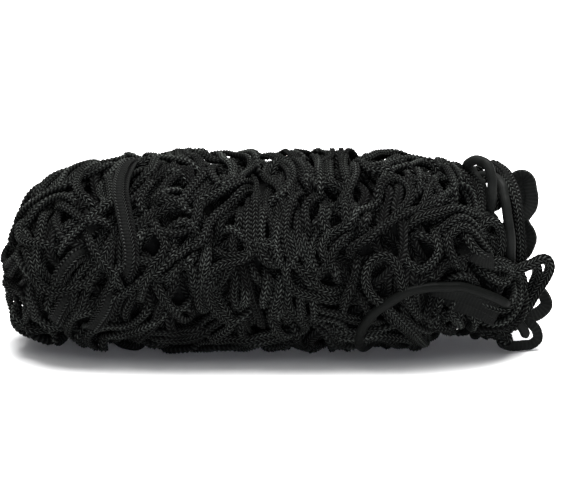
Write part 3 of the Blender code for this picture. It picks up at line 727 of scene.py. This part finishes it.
def fill(pile, chart, random, size, amount, pit, headroom, lengths=STRAND_LENGTHS):
    """Lays wandering strands that start in pits, until that length lies there or none is left."""
    runs = random.choice(chart.run, SPOTS, p=chart.radius / chart.radius.sum())
    angles = random.uniform(0, 2 * math.pi, SPOTS)
    heading_at = drift(random)
    strands, laid = [], 0.0
    for start in zip(runs, angles):
        if laid > amount:
            break
        if ground(pile, chart, np.array([start[0]]), np.array([start[1]])) > -pit:
            continue
        tries = meanders(random, chart, start, random.uniform(*lengths), heading_at)
        grounds = [ground(pile, chart, run, angle) for run, angle, _ in tries]
        if min(grounds) > -headroom:
            continue
        route = tries[int(np.argmin(grounds))]
        if random.random() < PAIRED:
            away = parted(random, route, size[0])
            routes = [beside(chart, route, away), beside(chart, route, -away)]
        else:
            routes = [route]
        for run, angle, _ in routes:
            base, normals = core_points(chart.along_at(run), angle)
            kept = clear_run(base)
            if kept * STEP < SHORTEST:
                continue
            twist = swings(random, run_of(base[:kept]), TWIST_WAVES)
            strands.append(lay(pile, base[:kept], normals[:kept], size, twist))
            laid += kept * STEP
    return strands


def ground(pile, chart, run, angle):
    """How high the strands under the route lie on average, over the highest allowed place."""
    base, normals = core_points(chart.along_at(run), angle)
    return (pile.height(base) - room(normals)).mean()


# --- making meshes ---


def framed(line, flat):
    """The directions along a line, across it and out of its flat side."""
    along = unit(np.gradient(line, axis=0))
    across = unit(np.cross(along, flat))
    return along, across, np.cross(across, along)


def resampled(strand, step):
    """A strand's line and flat side again, at rings an even step apart."""
    line, flat = strand
    run = run_of(line)
    stations = np.linspace(0, run[-1], max(4, round(run[-1] / step) + 1))
    rows = np.concatenate([line, flat], axis=1)
    rows = np.stack([np.interp(stations, run, column) for column in rows.T], axis=1)
    return rows[:, :3], unit(rows[:, 3:])


def tube_faces(first, rings, sides):
    """The faces of a tube of rings, closed at both ends, from that first point on."""
    index = first + np.arange(rings * sides).reshape(rings, sides)
    onward = np.roll(index, -1, axis=1)
    quads = np.stack([index[:-1], index[1:], onward[1:], onward[:-1]], axis=-1)
    return quads.reshape(-1, 4).tolist() + [index[0].tolist(), index[-1, ::-1].tolist()]


def new_piece(name, points, faces, finish):
    """A smooth mesh with that finish, from points in the part's millimetres."""
    points[:, 0] += MIDDLE_SHIFT
    mesh = bpy.data.meshes.new(name)
    mesh.from_pydata(points * MM, [], faces)
    mesh.shade_smooth()
    mesh.materials.append(finish)
    piece = bpy.data.objects.new(name, mesh)
    bpy.context.scene.collection.objects.link(piece)
    return piece


def knitted_mesh(
    name, strands, size, stitch, outline, rings, finish, tones_and_painted_shading=LOOSE_TONES, ends=FLAT_END
):
    """One mesh of closed cords with that outline. Its rings slant as a row of stitches does."""
    across_share, up_share, depth, lean, in_row = np.array(outline, float).T
    sides = len(outline)
    points, faces, places = [], [], []
    tone = np.random.default_rng(TONE_SEED)
    for strand in strands:
        line, flat = resampled(strand, stitch / len(rings))
        along, across, up = framed(line, flat)
        count = len(line)
        ring = np.array(rings)[np.arange(count) % len(rings)]
        swell = 1 + STITCH_DEPTH * ring[:, None] * depth
        run = run_of(line)
        grown = np.clip(np.minimum(run, run[-1] - run) / ends[0], 0, 1)[:, None]
        narrow = 1 - ends[1] * (1 - grown) ** 2
        sideways = size[0] / 2 * across_share * (1 + (swell - 1) * EDGE_SHARE) * narrow
        upwards = size[1] / 2 * up_share * swell * narrow
        slant = STITCH_SLANT * lean * grown
        corners = (
            line[:, None]
            + across[:, None] * sideways[..., None]
            + up[:, None] * upwards[..., None]
            + along[:, None] * slant[..., None]
        )
        first = sum(len(p) for p in points)
        faces += tube_faces(first, count, sides)
        points.append(corners.reshape(-1, 3))
        # The place in the row and the tone go to the finish, which paints shade from the place. The
        # tone is drawn at random within its range, and the ranges also hold painted shade for deep
        # strands and painted light for the end loops and the raised elastic cord.
        place = np.zeros((count, sides, 3))
        place[..., 0] = in_row
        place[..., 1] = np.arange(count)[:, None] / len(rings)
        place[..., 2] = tone.uniform(*tones_and_painted_shading)
        places.append(place.reshape(-1, 3))
    points = np.concatenate(points)
    points[:, 2] = np.maximum(points[:, 2], LOWEST)
    piece = new_piece(name, points, faces, finish)
    knit_and_painted_shading = piece.data.attributes.new("knit_and_painted_shading", "FLOAT_VECTOR", "POINT")
    knit_and_painted_shading.data.foreach_set("vector", np.concatenate(places).astype(np.float32).ravel())
    return piece


def mirrored(outline):
    """The same outline with its other edge first."""
    return [(-row[0], *row[1:]) for row in reversed(outline)]


def round_outline(sides):
    turns = [2 * math.pi * side / sides for side in range(sides)]
    return [(math.cos(turn), math.sin(turn), 1.0, 0.0, math.cos(turn)) for turn in turns]


def core_mesh(chart, finish):
    """The closed core, as rings about the roll that close at both tips."""
    runs = np.linspace(TIP_GAP, chart.last - TIP_GAP, CORE_RINGS)
    turns = np.linspace(0, 2 * math.pi, CORE_SIDES, endpoint=False)
    run, turn = (grid.ravel() for grid in np.meshgrid(runs, turns, indexing="ij"))
    points, _ = core_points(chart.along_at(run), turn)
    return new_piece("packed_core", points, tube_faces(0, CORE_RINGS, CORE_SIDES), finish)


def fitted(piece, slot, *nodes):
    """The piece rides on the part's one body, and the part's nodes that it stands for are hidden."""
    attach(piece, "root")
    if nodes:
        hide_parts(*nodes)
    return piece


# --- materials ---


def add_node(tree, kind, inputs, **settings):
    """Adds a node with its settings, and sets or links its inputs."""
    made = tree.nodes.new(kind)
    for name, value in settings.items():
        setattr(made, name, value)
    fill_inputs(tree, made, inputs)
    return made


def fill_inputs(tree, node, inputs):
    """Sets each input to its value, or links it where that is another node's output."""
    for socket, value in inputs.items():
        if isinstance(value, bpy.types.NodeSocket):
            tree.links.new(value, node.inputs[socket])
        else:
            node.inputs[socket].default_value = value


def new_finish(name):
    """An empty material and the shader that it shows."""
    finish = bpy.data.materials.new(name)
    finish.use_nodes = True
    return finish, finish.node_tree, finish.node_tree.nodes["Principled BSDF"]


def knitted_polypropylene(name, colour, roughness):
    """Warp-knitted black polypropylene yarn. The eye sees rows of slanted stitches with dark grooves
    between them, a soft gleam on each stitch, and fine filaments. The dark of the grooves and of the
    cord's sides and underside is painted shade in the colour, and the crowns of the stitches are
    painted lighter."""
    finish, tree, shader = new_finish(name)
    knit_and_painted_shading = add_node(tree, "ShaderNodeAttribute", {}, attribute_name="knit_and_painted_shading")
    place = add_node(tree, "ShaderNodeSeparateXYZ", {"Vector": knit_and_painted_shading.outputs["Vector"]})
    # Painted shade: the colour falls to black in the groove between two stitches and is lightest on
    # their crowns.
    from_groove = add_node(
        tree, "ShaderNodeMath", {0: place.outputs["Y"], 1: 0.5}, operation="PINGPONG"
    )
    groove_shade_mask = add_node(
        tree, "ShaderNodeMapRange",
        {"Value": from_groove.outputs[0], "From Min": 0.16, "From Max": 0.46},
        interpolation_type="SMOOTHSTEP",
    )
    spot = add_node(tree, "ShaderNodeTexCoord", {})
    dust = add_node(
        tree, "ShaderNodeTexNoise",
        {"Vector": spot.outputs["Object"], "Scale": 1 / (YARN_DUST * MM), "Detail": 3.0},
    )
    worn = add_node(
        tree, "ShaderNodeMapRange",
        {"Value": dust.outputs["Fac"], "From Min": 0.3, "From Max": 0.7, "To Min": 0.75, "To Max": 1.2},
    )
    plain = add_node(
        tree, "ShaderNodeMapRange",
        {"Value": place.outputs["X"], "From Min": 1.2, "From Max": 1.7, "To Max": 0.93},
    )
    # Plain cloth keeps a fixed share of the colour; knitted rows keep the painted groove shade.
    raised = add_node(
        tree, "ShaderNodeMix", {0: plain.outputs[0], 2: groove_shade_mask.outputs[0], 3: PLAIN_SHARE},
    )
    # Painted shade: the colour darkens in the groove between two rows of stitches and on the cord's
    # sides and underside.
    wale_shade_mask = add_node(
        tree, "ShaderNodeMapRange", {"Value": place.outputs["X"], "From Max": 0.45, "To Min": 0.05},
        interpolation_type="SMOOTHSTEP",
    )
    yarn_with_painted_shade = add_node(
        tree, "ShaderNodeMath", {0: raised.outputs[0], 1: wale_shade_mask.outputs[0]}, operation="MULTIPLY"
    )
    # The colour's share is that painted shade, times the strand's tone, which holds painted shade and
    # painted light as well, times the dust patches.
    share = yarn_with_painted_shade
    for factor in (place.outputs["Z"], worn.outputs[0]):
        share = add_node(
            tree, "ShaderNodeMath", {0: share.outputs[0], 1: factor}, operation="MULTIPLY"
        )
    shade = add_node(
        tree, "ShaderNodeMix", {0: share.outputs[0], 6: (0, 0, 0, 1), 7: (*colour, 1)},
        data_type="RGBA", clamp_factor=False,
    )
    filament = add_node(
        tree, "ShaderNodeMath", {0: place.outputs["Y"], 1: 2 * math.pi * FILAMENTS},
        operation="MULTIPLY",
    )
    ridge = add_node(tree, "ShaderNodeMath", {0: filament.outputs[0]}, operation="SINE")
    fuzz = add_node(
        tree, "ShaderNodeTexNoise",
        {"Vector": spot.outputs["Object"], "Scale": 1 / (FUZZ * MM), "Detail": 2.0},
    )
    relief = add_node(
        tree, "ShaderNodeMath", {0: ridge.outputs[0], 1: 0.08, 2: yarn_with_painted_shade.outputs[0]},
        operation="MULTIPLY_ADD",
    )
    height = add_node(
        tree, "ShaderNodeMath", {0: fuzz.outputs["Fac"], 1: 0.3, 2: relief.outputs[0]},
        operation="MULTIPLY_ADD",
    )
    bump = add_node(
        tree, "ShaderNodeBump",
        {"Height": height.outputs[0], "Strength": 1.0, "Distance": 0.9 * MM},
    )
    gloss = add_node(
        tree, "ShaderNodeMapRange", {"Value": yarn_with_painted_shade.outputs[0], "To Min": 1.0, "To Max": roughness}
    )
    fill_inputs(tree, shader, {
        "Base Color": shade.outputs[2], "Normal": bump.outputs["Normal"],
        "Roughness": gloss.outputs[0], "IOR": 1.49, "Specular IOR Level": SPECULAR,
    })
    return finish


def braided_sheath(name, colour):
    """Tight smooth polyester braid over a rubber core. The eye sees a nearly plain round cord with
    two long soft highlights and a very fine crossing weave."""
    finish, tree, shader = new_finish(name)
    knit_and_painted_shading = add_node(tree, "ShaderNodeAttribute", {}, attribute_name="knit_and_painted_shading")
    place = add_node(tree, "ShaderNodeSeparateXYZ", {"Vector": knit_and_painted_shading.outputs["Vector"]})
    turn = add_node(tree, "ShaderNodeMath", {0: place.outputs["X"]}, operation="ARCCOSINE")
    waves = []
    for lean in (-1, 1):
        place_on = add_node(
            tree, "ShaderNodeMath",
            {0: turn.outputs[0], 1: SHEATH_STRANDS * lean, 2: place.outputs["Y"]},
            operation="MULTIPLY_ADD",
        )
        waves.append(add_node(tree, "ShaderNodeMath", {0: place_on.outputs[0]}, operation="SINE"))
    weave = add_node(
        tree, "ShaderNodeMath", {0: waves[0].outputs[0], 1: waves[1].outputs[0]},
        operation="MULTIPLY",
    )
    bump = add_node(
        tree, "ShaderNodeBump",
        {"Height": weave.outputs[0], "Strength": 0.5, "Distance": 0.12 * MM},
    )
    spot = add_node(tree, "ShaderNodeTexCoord", {})
    dust = add_node(
        tree, "ShaderNodeTexNoise",
        {"Vector": spot.outputs["Object"], "Scale": 1 / (SHEATH_DUST * MM), "Detail": 3.0},
    )
    # The dust patches are real; the tone that scales them is painted light where the cord stands up,
    # and painted shade where it lies on the roll.
    worn = add_node(
        tree, "ShaderNodeMath", {0: dust.outputs["Fac"], 1: place.outputs["Z"]},
        operation="MULTIPLY",
    )
    shade = add_node(
        tree, "ShaderNodeMix",
        {0: worn.outputs[0], 6: (*colour, 1), 7: (*linear("#161716"), 1)},
        data_type="RGBA", clamp_factor=False,
    )
    fill_inputs(tree, shader, {
        "Base Color": shade.outputs[2], "Normal": bump.outputs["Normal"],
        "Roughness": SHEATH_ROUGHNESS, "IOR": 1.5, "Specular IOR Level": SHEATH_SPECULAR,
    })
    return finish


def shaded_packed_netting(name, colour):
    """The inside of the roll, which the eye sees only as black between the strands. Its colour is
    painted shade: darker than the cord's, and darker still towards the edges of its cells.
    """
    finish, tree, shader = new_finish(name)
    spot = add_node(tree, "ShaderNodeTexCoord", {})
    cells = add_node(
        tree, "ShaderNodeTexVoronoi",
        {"Vector": spot.outputs["Object"], "Scale": 1 / (PACKED_CELL * MM)},
    )
    # Painted shade: the colour darkens to near black towards the edges of the cells.
    shade = add_node(
        tree, "ShaderNodeMix",
        {0: cells.outputs["Distance"], 6: (*colour, 1), 7: (0.001, 0.001, 0.001, 1)},
        data_type="RGBA",
    )
    bump = add_node(
        tree, "ShaderNodeBump",
        {"Height": cells.outputs["Distance"], "Strength": 1.0, "Distance": 2 * MM},
    )
    fill_inputs(tree, shader, {
        "Base Color": shade.outputs[2], "Normal": bump.outputs["Normal"],
        "Roughness": 1.0, "IOR": 1.49, "Specular IOR Level": CORE_SPECULAR,
    })
    return finish


def matt_paper(name, colour):
    """Seamless white paper, which gives a pale even floor with a soft shadow."""
    finish, tree, shader = new_finish(name)
    spot = add_node(tree, "ShaderNodeTexCoord", {})
    grain = add_node(
        tree, "ShaderNodeTexNoise",
        {"Vector": spot.outputs["Object"], "Scale": 1 / (PAPER_GRAIN * MM)},
    )
    bump = add_node(
        tree, "ShaderNodeBump",
        {"Height": grain.outputs["Fac"], "Strength": 0.05, "Distance": 0.2 * MM},
    )
    fill_inputs(tree, shader, {
        "Base Color": (*colour, 1), "Normal": bump.outputs["Normal"], "Roughness": 0.95,
    })
    return finish


# --- settings and operators ---

CHART = Chart()
PILE = Pile()


def length_setting(name, description, default):
    return bpy.props.FloatProperty(
        name=name, description=description, default=default, unit="LENGTH", min=0.0, precision=4
    )


def colour_setting(name, description, default):
    return bpy.props.FloatVectorProperty(
        name=name, description=description, default=linear(default), subtype="COLOR", min=0, max=1
    )


class NetCordSettings(bpy.types.PropertyGroup):
    width: length_setting("Width", "Width of the flat knitted cord", 6.6 * MM)
    thickness: length_setting("Thickness", "Thickness of the flat knitted cord", 3.0 * MM)
    stitch: length_setting("Stitch", "Length of one stitch", 2.8 * MM)
    squeeze: bpy.props.FloatProperty(
        name="Squeeze", description="Share of its width that a packed strand keeps", default=0.88
    )
    inner: length_setting("Inner length", "Most cord in the inner strands", 16.0)
    middle: length_setting("Middle length", "Most cord in the middle strands", 16.0)
    outer: length_setting("Outer length", "Most cord in the outer strands", 18.0)
    patches: length_setting("Patch length", "Most cord in the short strands over pits", 4.0)
    colour: colour_setting("Colour", "Colour of the cord", "#3c3f3c")


class BorderSettings(bpy.types.PropertyGroup):
    width: length_setting("Width", "Width of the knitted border band", 9.2 * MM)
    thickness: length_setting("Thickness", "Thickness of the knitted border band", 3.5 * MM)
    stitch: length_setting("Stitch", "Length of one stitch of its edge", 2.3 * MM)
    colour: colour_setting("Colour", "Colour of the band", "#2d2f2d")


class ElasticSettings(bpy.types.PropertyGroup):
    diameter: length_setting("Diameter", "Diameter of the round elastic cord", 6.35 * MM)
    colour: colour_setting("Colour", "Colour of the sheath", "#080908")


class StageSettings(bpy.types.PropertyGroup):
    lens: bpy.props.FloatProperty(
        name="Lens", description="Focal length of the camera in millimetres", default=350.0
    )
    elevation: bpy.props.FloatProperty(
        name="Elevation", description="Angle of the camera above the floor",
        default=math.radians(VIEW_ELEVATION), subtype="ANGLE",
    )
    view_width: length_setting("View width", "Width that the picture takes in at the roll", 365.1 * MM)
    view_along: length_setting("View centre along", "Place along the roll at the middle", 14.7 * MM)
    view_height: length_setting("View centre height", "Height at the middle of the picture", 62.8 * MM)
    floor_colour: colour_setting("Floor", "Colour of the floor", "#f4f4f4")
    room_light: bpy.props.FloatProperty(
        name="Room light", description="Strength of the even light all round", default=0.25
    )


class CARGONET_OT_core(bpy.types.Operator):
    """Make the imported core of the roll"""

    bl_idname = "cargo_net.core"
    bl_label = "Packed core"

    def execute(self, context):
        # The core's dark colour is painted shade.
        core = core_mesh(CHART, shaded_packed_netting("packed netting in painted shade", linear("#161716")))
        fitted(core, "net_cord", "net_roll")
        return {"FINISHED"}


class CARGONET_OT_strands(bpy.types.Operator):
    """Lay the net's strands over the core, from the inner ones to those on the front"""

    bl_idname = "cargo_net.strands"
    bl_label = "Net strands"

    def execute(self, context):
        net = context.scene.cargo_net_cord
        size = packed_size(net)
        stitch = net.stitch / MM
        finish = knitted_polypropylene("knitted polypropylene cord", net.colour, YARN_ROUGHNESS)
        random = np.random.default_rng(LAYING_SEED)
        inner = fill(PILE, CHART, random, size, net.inner / MM, *INNER_GROUND)
        middle = fill(PILE, CHART, random, size, net.middle / MM, *MIDDLE_GROUND)
        outer = fill(PILE, CHART, random, size, net.outer / MM, *OUTER_GROUND)
        outer += fill(PILE, CHART, random, size, net.patches / MM, *PIT_GROUND, SHORT_LENGTHS)
        traced = [lay_seen(rows, size, random) for rows in FRONT_STRANDS]
        # The inner and middle strands take lower tones: painted shade for lying deeper in the roll.
        groups = [
            ("inner_strands", inner, PLAIN_OUTLINE, STITCH_ONCE, INNER_TONES_IN_PAINTED_SHADE),
            ("middle_strands", middle, KNITTED_OUTLINE, STITCH_PAIR, MIDDLE_TONES_IN_PAINTED_SHADE),
            ("outer_strands", outer, KNITTED_OUTLINE, STITCH_RINGS, OUTER_TONES),
            ("front_strands", traced, KNITTED_OUTLINE, STITCH_RINGS, OUTER_TONES),
        ]
        for name, strands, outline, rings, tones_and_painted_shading in groups:
            shares = -(-len(strands) // STRANDS_A_PIECE)
            for number in range(shares):
                some = strands[number::shares]
                piece = knitted_mesh(
                    f"{name}_{number + 1}", some, size, stitch, outline, rings, finish, tones_and_painted_shading
                )
                fitted(piece, "net_cord")
        return {"FINISHED"}


class CARGONET_OT_net_loops(bpy.types.Operator):
    """Make the loose loops of net cord at the end"""

    bl_idname = "cargo_net.net_loops"
    bl_label = "Loose net loops"

    def execute(self, context):
        net = context.scene.cargo_net_cord
        finish = knitted_polypropylene("loose knitted cord", net.colour, YARN_ROUGHNESS)
        for name, route, outline in (
            ("net_loop_side", NET_LOOP_SIDE, KNITTED_OUTLINE),
            ("net_loop_inner", NET_LOOP_INNER, KNITTED_OUTLINE),
            ("net_loop_low", NET_LOOP_LOW, BAND_BACK_OUTLINE),
        ):
            strands = facing([route], TOWARDS_FRONT)
            piece = knitted_mesh(
                f"loose_{name}", strands, (net.width / MM, net.thickness / MM),
                net.stitch / MM, outline, STITCH_RINGS, finish,
            )
            free_cord(piece, name, "net_cord")
        size = packed_size(net)
        piece = knitted_mesh(
            "end_strands", facing(END_STRANDS, TOWARDS_FRONT_AND_END), size, net.stitch / MM,
            KNITTED_OUTLINE, STITCH_RINGS, finish,
        )
        fitted(piece, "net_cord")
        return {"FINISHED"}


class CARGONET_OT_border(bpy.types.Operator):
    """Make the border band, on the roll and in its loose loops"""

    bl_idname = "cargo_net.border"
    bl_label = "Border band"

    def execute(self, context):
        band = context.scene.cargo_net_border
        size = (band.width / MM, band.thickness / MM)
        finish = knitted_polypropylene("knitted border band", band.colour, BAND_ROUGHNESS)
        spread = (size[0] * LAID_SPREAD, size[1])
        for name, routes, outline in (
            ("band_scraps", BAND_SCRAPS, BAND_OUTLINE),
            ("back_scraps", BACK_SCRAPS, BAND_BACK_OUTLINE),
            ("border_band_left", [LEFT_BAND], BAND_OUTLINE),
            ("border_band_low", [LOW_BAND], BAND_BACK_OUTLINE),
        ):
            strands = [
                lay_seen(rows, spread, bridge=BAND_BRIDGE, ease=BAND_EASE) for rows in routes
            ]
            piece = knitted_mesh(
                f"laid_{name}", strands, spread, band.stitch / MM, outline, STITCH_RINGS, finish
            )
            fitted(piece, "border_band", *(name,) * name.startswith("border"))
        # The end loops take higher tones as painted light.
        for name, route, outline, tones_and_painted_shading in (
            ("border_fall", BORDER_FALL, mirrored(BAND_OUTLINE), LOOSE_TONES),
            ("border_loops_end", BORDER_LOOPS, BAND_BACK_OUTLINE, END_TONES_IN_PAINTED_LIGHT),
            ("border_loop_low", BORDER_LOOP_LOW, BAND_BACK_OUTLINE, END_TONES_IN_PAINTED_LIGHT),
        ):
            line = smooth_route(route, STEP)
            if name == "border_fall":
                turned = np.clip((line[:, 2] - FALL_TURN[0]) / FALL_TURN[1], 0, 1)
                flat = TOWARDS_FRONT_AND_END + np.outer(turned, UPWARDS)
            else:
                flat = unit(np.cross(np.array(ACROSS_THE_END), np.gradient(line, axis=0)))
                flat = flat + LOOP_TURN * unit(np.array(TOWARDS_FRONT))
            piece = knitted_mesh(
                f"loose_{name}", [(line, flat)], size, band.stitch / MM, outline,
                STITCH_RINGS, finish, tones_and_painted_shading,
            )
            free_cord(piece, name, "border_band")
        # The folds behind the end loops take higher tones as painted light.
        piece = knitted_mesh(
            "end_folds", facing(END_FOLDS, TOWARDS_FRONT), size, band.stitch / MM,
            BAND_BACK_OUTLINE, STITCH_RINGS, finish, END_TONES_IN_PAINTED_LIGHT,
        )
        fitted(piece, "border_band")
        return {"FINISHED"}


class CARGONET_OT_elastic(bpy.types.Operator):
    """Make the three lengths of elastic cord that show"""

    bl_idname = "cargo_net.elastic"
    bl_label = "Elastic cord"

    def execute(self, context):
        elastic = context.scene.cargo_net_elastic
        size = (elastic.diameter / MM, elastic.diameter / MM)
        outline = round_outline(ROUND_SIDES)
        finish = braided_sheath("braided elastic cord", elastic.colour)
        sweep, _ = lay_seen(ELASTIC_SWEEP, size, bridge=ELASTIC_BRIDGE, ease=ELASTIC_EASE)
        # The raised lengths take a higher tone as painted light, the laid sweep a lower one as painted
        # shade.
        for name, line, wear_and_painted_shading in (
            ("elastic_hairpin", smooth_route(ELASTIC_HAIRPIN, STEP), RAISED_WEAR_AND_PAINTED_LIGHT),
            ("elastic_drop", smooth_route(ELASTIC_DROP, STEP), RAISED_WEAR_AND_PAINTED_LIGHT),
            ("elastic_sweep", sweep, LAID_WEAR_AND_PAINTED_SHADE),
        ):
            flat = np.repeat([TOWARDS_FRONT], len(line), axis=0)
            piece = knitted_mesh(
                f"loose_{name}", [(line, flat)], size, ELASTIC_RING, outline, STITCH_ONCE, finish,
                wear_and_painted_shading,
            )
            free_cord(piece, name, "elastic_cord")
        stub = knitted_mesh(
            "elastic_stub", facing([ELASTIC_STUB], TOWARDS_FRONT), size, ELASTIC_RING / 2, outline,
            STITCH_ONCE, finish, RAISED_WEAR_AND_PAINTED_LIGHT, ROUND_END,
        )
        fitted(stub, "elastic_cord")
        return {"FINISHED"}


class CARGONET_OT_crossing(bpy.types.Operator):
    """Lay the net strands that cross over the elastic cord"""

    bl_idname = "cargo_net.crossing"
    bl_label = "Crossing strands"

    def execute(self, context):
        net = context.scene.cargo_net_cord
        size = packed_size(net)
        strands = [lay_seen(rows, size) for rows in CROSSING_STRANDS]
        finish = knitted_polypropylene("crossing knitted cord", net.colour, YARN_ROUGHNESS)
        piece = knitted_mesh(
            "crossing_strands", strands, size, net.stitch / MM, KNITTED_OUTLINE, STITCH_RINGS, finish
        )
        fitted(piece, "net_cord")
        return {"FINISHED"}


def packed_size(net):
    """A strand's width and thickness where the pile squeezes it, in millimetres."""
    return net.width / MM * net.squeeze, net.thickness / MM / net.squeeze


def lay_seen(rows, size, random=None, bridge=BRIDGE, ease=EASE):
    """Lays a cord on the pile along a route of the front. It twists if given random numbers."""
    base, normals = core_points(*seen_route(rows))
    twist = np.zeros(len(base))
    if random is not None:
        twist = swings(random, run_of(base), TWIST_WAVES)
    return lay(PILE, base, normals, size, twist, bridge, ease)


def facing(routes, way):
    """Strands along those routes, with their flat sides that way."""
    lines = [smooth_route(route, STEP) for route in routes]
    return [(line, np.repeat([way], len(line), axis=0)) for line in lines]


def free_cord(piece, node, slot):
    """The piece is a cord that comes out of the roll and goes back in. It rides on the part's one body,
    and the part's node that it stands for is hidden.
    """
    fitted(piece, slot, node)


class CARGONET_OT_stage(bpy.types.Operator):
    """Make the pale floor, the studio light and the camera"""

    bl_idname = "cargo_net.stage"
    bl_label = "Stage"

    def execute(self, context):
        stage = context.scene.cargo_net_stage
        bpy.ops.mesh.primitive_plane_add(size=FLOOR_SIDE)
        floor = context.object
        floor.name = "floor"
        floor.data.materials.append(matt_paper("seamless paper", stage.floor_colour))

        world = bpy.data.worlds.new("studio")
        world.use_nodes = True
        sky = world.node_tree.nodes["Background"]
        fill_inputs(world.node_tree, sky, {"Color": (1, 1, 1, 1), "Strength": stage.room_light})
        context.scene.world = world
        target = Vector(LAMP_TARGET)
        for name, place, side, power, tint in LAMPS:
            lamp = bpy.data.lights.new(name, "AREA")
            lamp.size = side
            lamp.energy = power
            lamp.color = linear(tint)
            light = bpy.data.objects.new(name, lamp)
            light.location = place
            light.rotation_euler = (target - light.location).to_track_quat("-Z", "Y").to_euler()
            context.scene.collection.objects.link(light)

        lens = bpy.data.cameras.new("camera")
        lens.lens = stage.lens
        camera = bpy.data.objects.new("camera", lens)
        back = Vector((0, -math.cos(stage.elevation), math.sin(stage.elevation)))
        centre = Vector((stage.view_along, 0, stage.view_height))
        distance = stage.view_width * stage.lens / lens.sensor_width
        camera.location = centre + back * distance
        camera.rotation_euler = (-back).to_track_quat("-Z", "Y").to_euler()
        context.scene.collection.objects.link(camera)
        context.scene.camera = camera
        context.scene.view_settings.view_transform = "Standard"
        return {"FINISHED"}


class CARGONET_PT_panel(bpy.types.Panel):
    """The net's pieces and their sizes"""

    bl_idname = "CARGONET_PT_panel"
    bl_label = "Rolled Cargo Net"
    bl_space_type = "VIEW_3D"
    bl_region_type = "UI"
    bl_category = "Cargo Net"

    def draw(self, context):
        for label, settings, operators in PANEL_ROWS:
            box = self.layout.box()
            box.label(text=label)
            group = getattr(context.scene, settings)
            for name in group.__annotations__:
                box.prop(group, name)
            for operator in operators:
                box.operator(operator)


SETTINGS = {
    "cargo_net_cord": NetCordSettings,
    "cargo_net_border": BorderSettings,
    "cargo_net_elastic": ElasticSettings,
    "cargo_net_stage": StageSettings,
}
PANEL_ROWS = (
    ("Net", "cargo_net_cord", ("cargo_net.core", "cargo_net.strands", "cargo_net.net_loops")),
    ("Border", "cargo_net_border", ("cargo_net.border",)),
    ("Elastic", "cargo_net_elastic", ("cargo_net.elastic", "cargo_net.crossing")),
    ("Stage", "cargo_net_stage", ("cargo_net.stage",)),
)
CLASSES = (
    *SETTINGS.values(),
    CARGONET_OT_core,
    CARGONET_OT_strands,
    CARGONET_OT_net_loops,
    CARGONET_OT_border,
    CARGONET_OT_elastic,
    CARGONET_OT_crossing,
    CARGONET_OT_stage,
    CARGONET_PT_panel,
)


def register():
    for kind in CLASSES:
        bpy.utils.register_class(kind)
    for name, kind in SETTINGS.items():
        setattr(bpy.types.Scene, name, bpy.props.PointerProperty(type=kind))


def unregister():
    for name in SETTINGS:
        delattr(bpy.types.Scene, name)
    for kind in reversed(CLASSES):
        bpy.utils.unregister_class(kind)


def main():
    register()
    for _, _, operators in PANEL_ROWS:
        for operator in operators:
            group, action = operator.split(".")
            getattr(getattr(bpy.ops, group), action)()


if __name__ == "__main__":
    main()
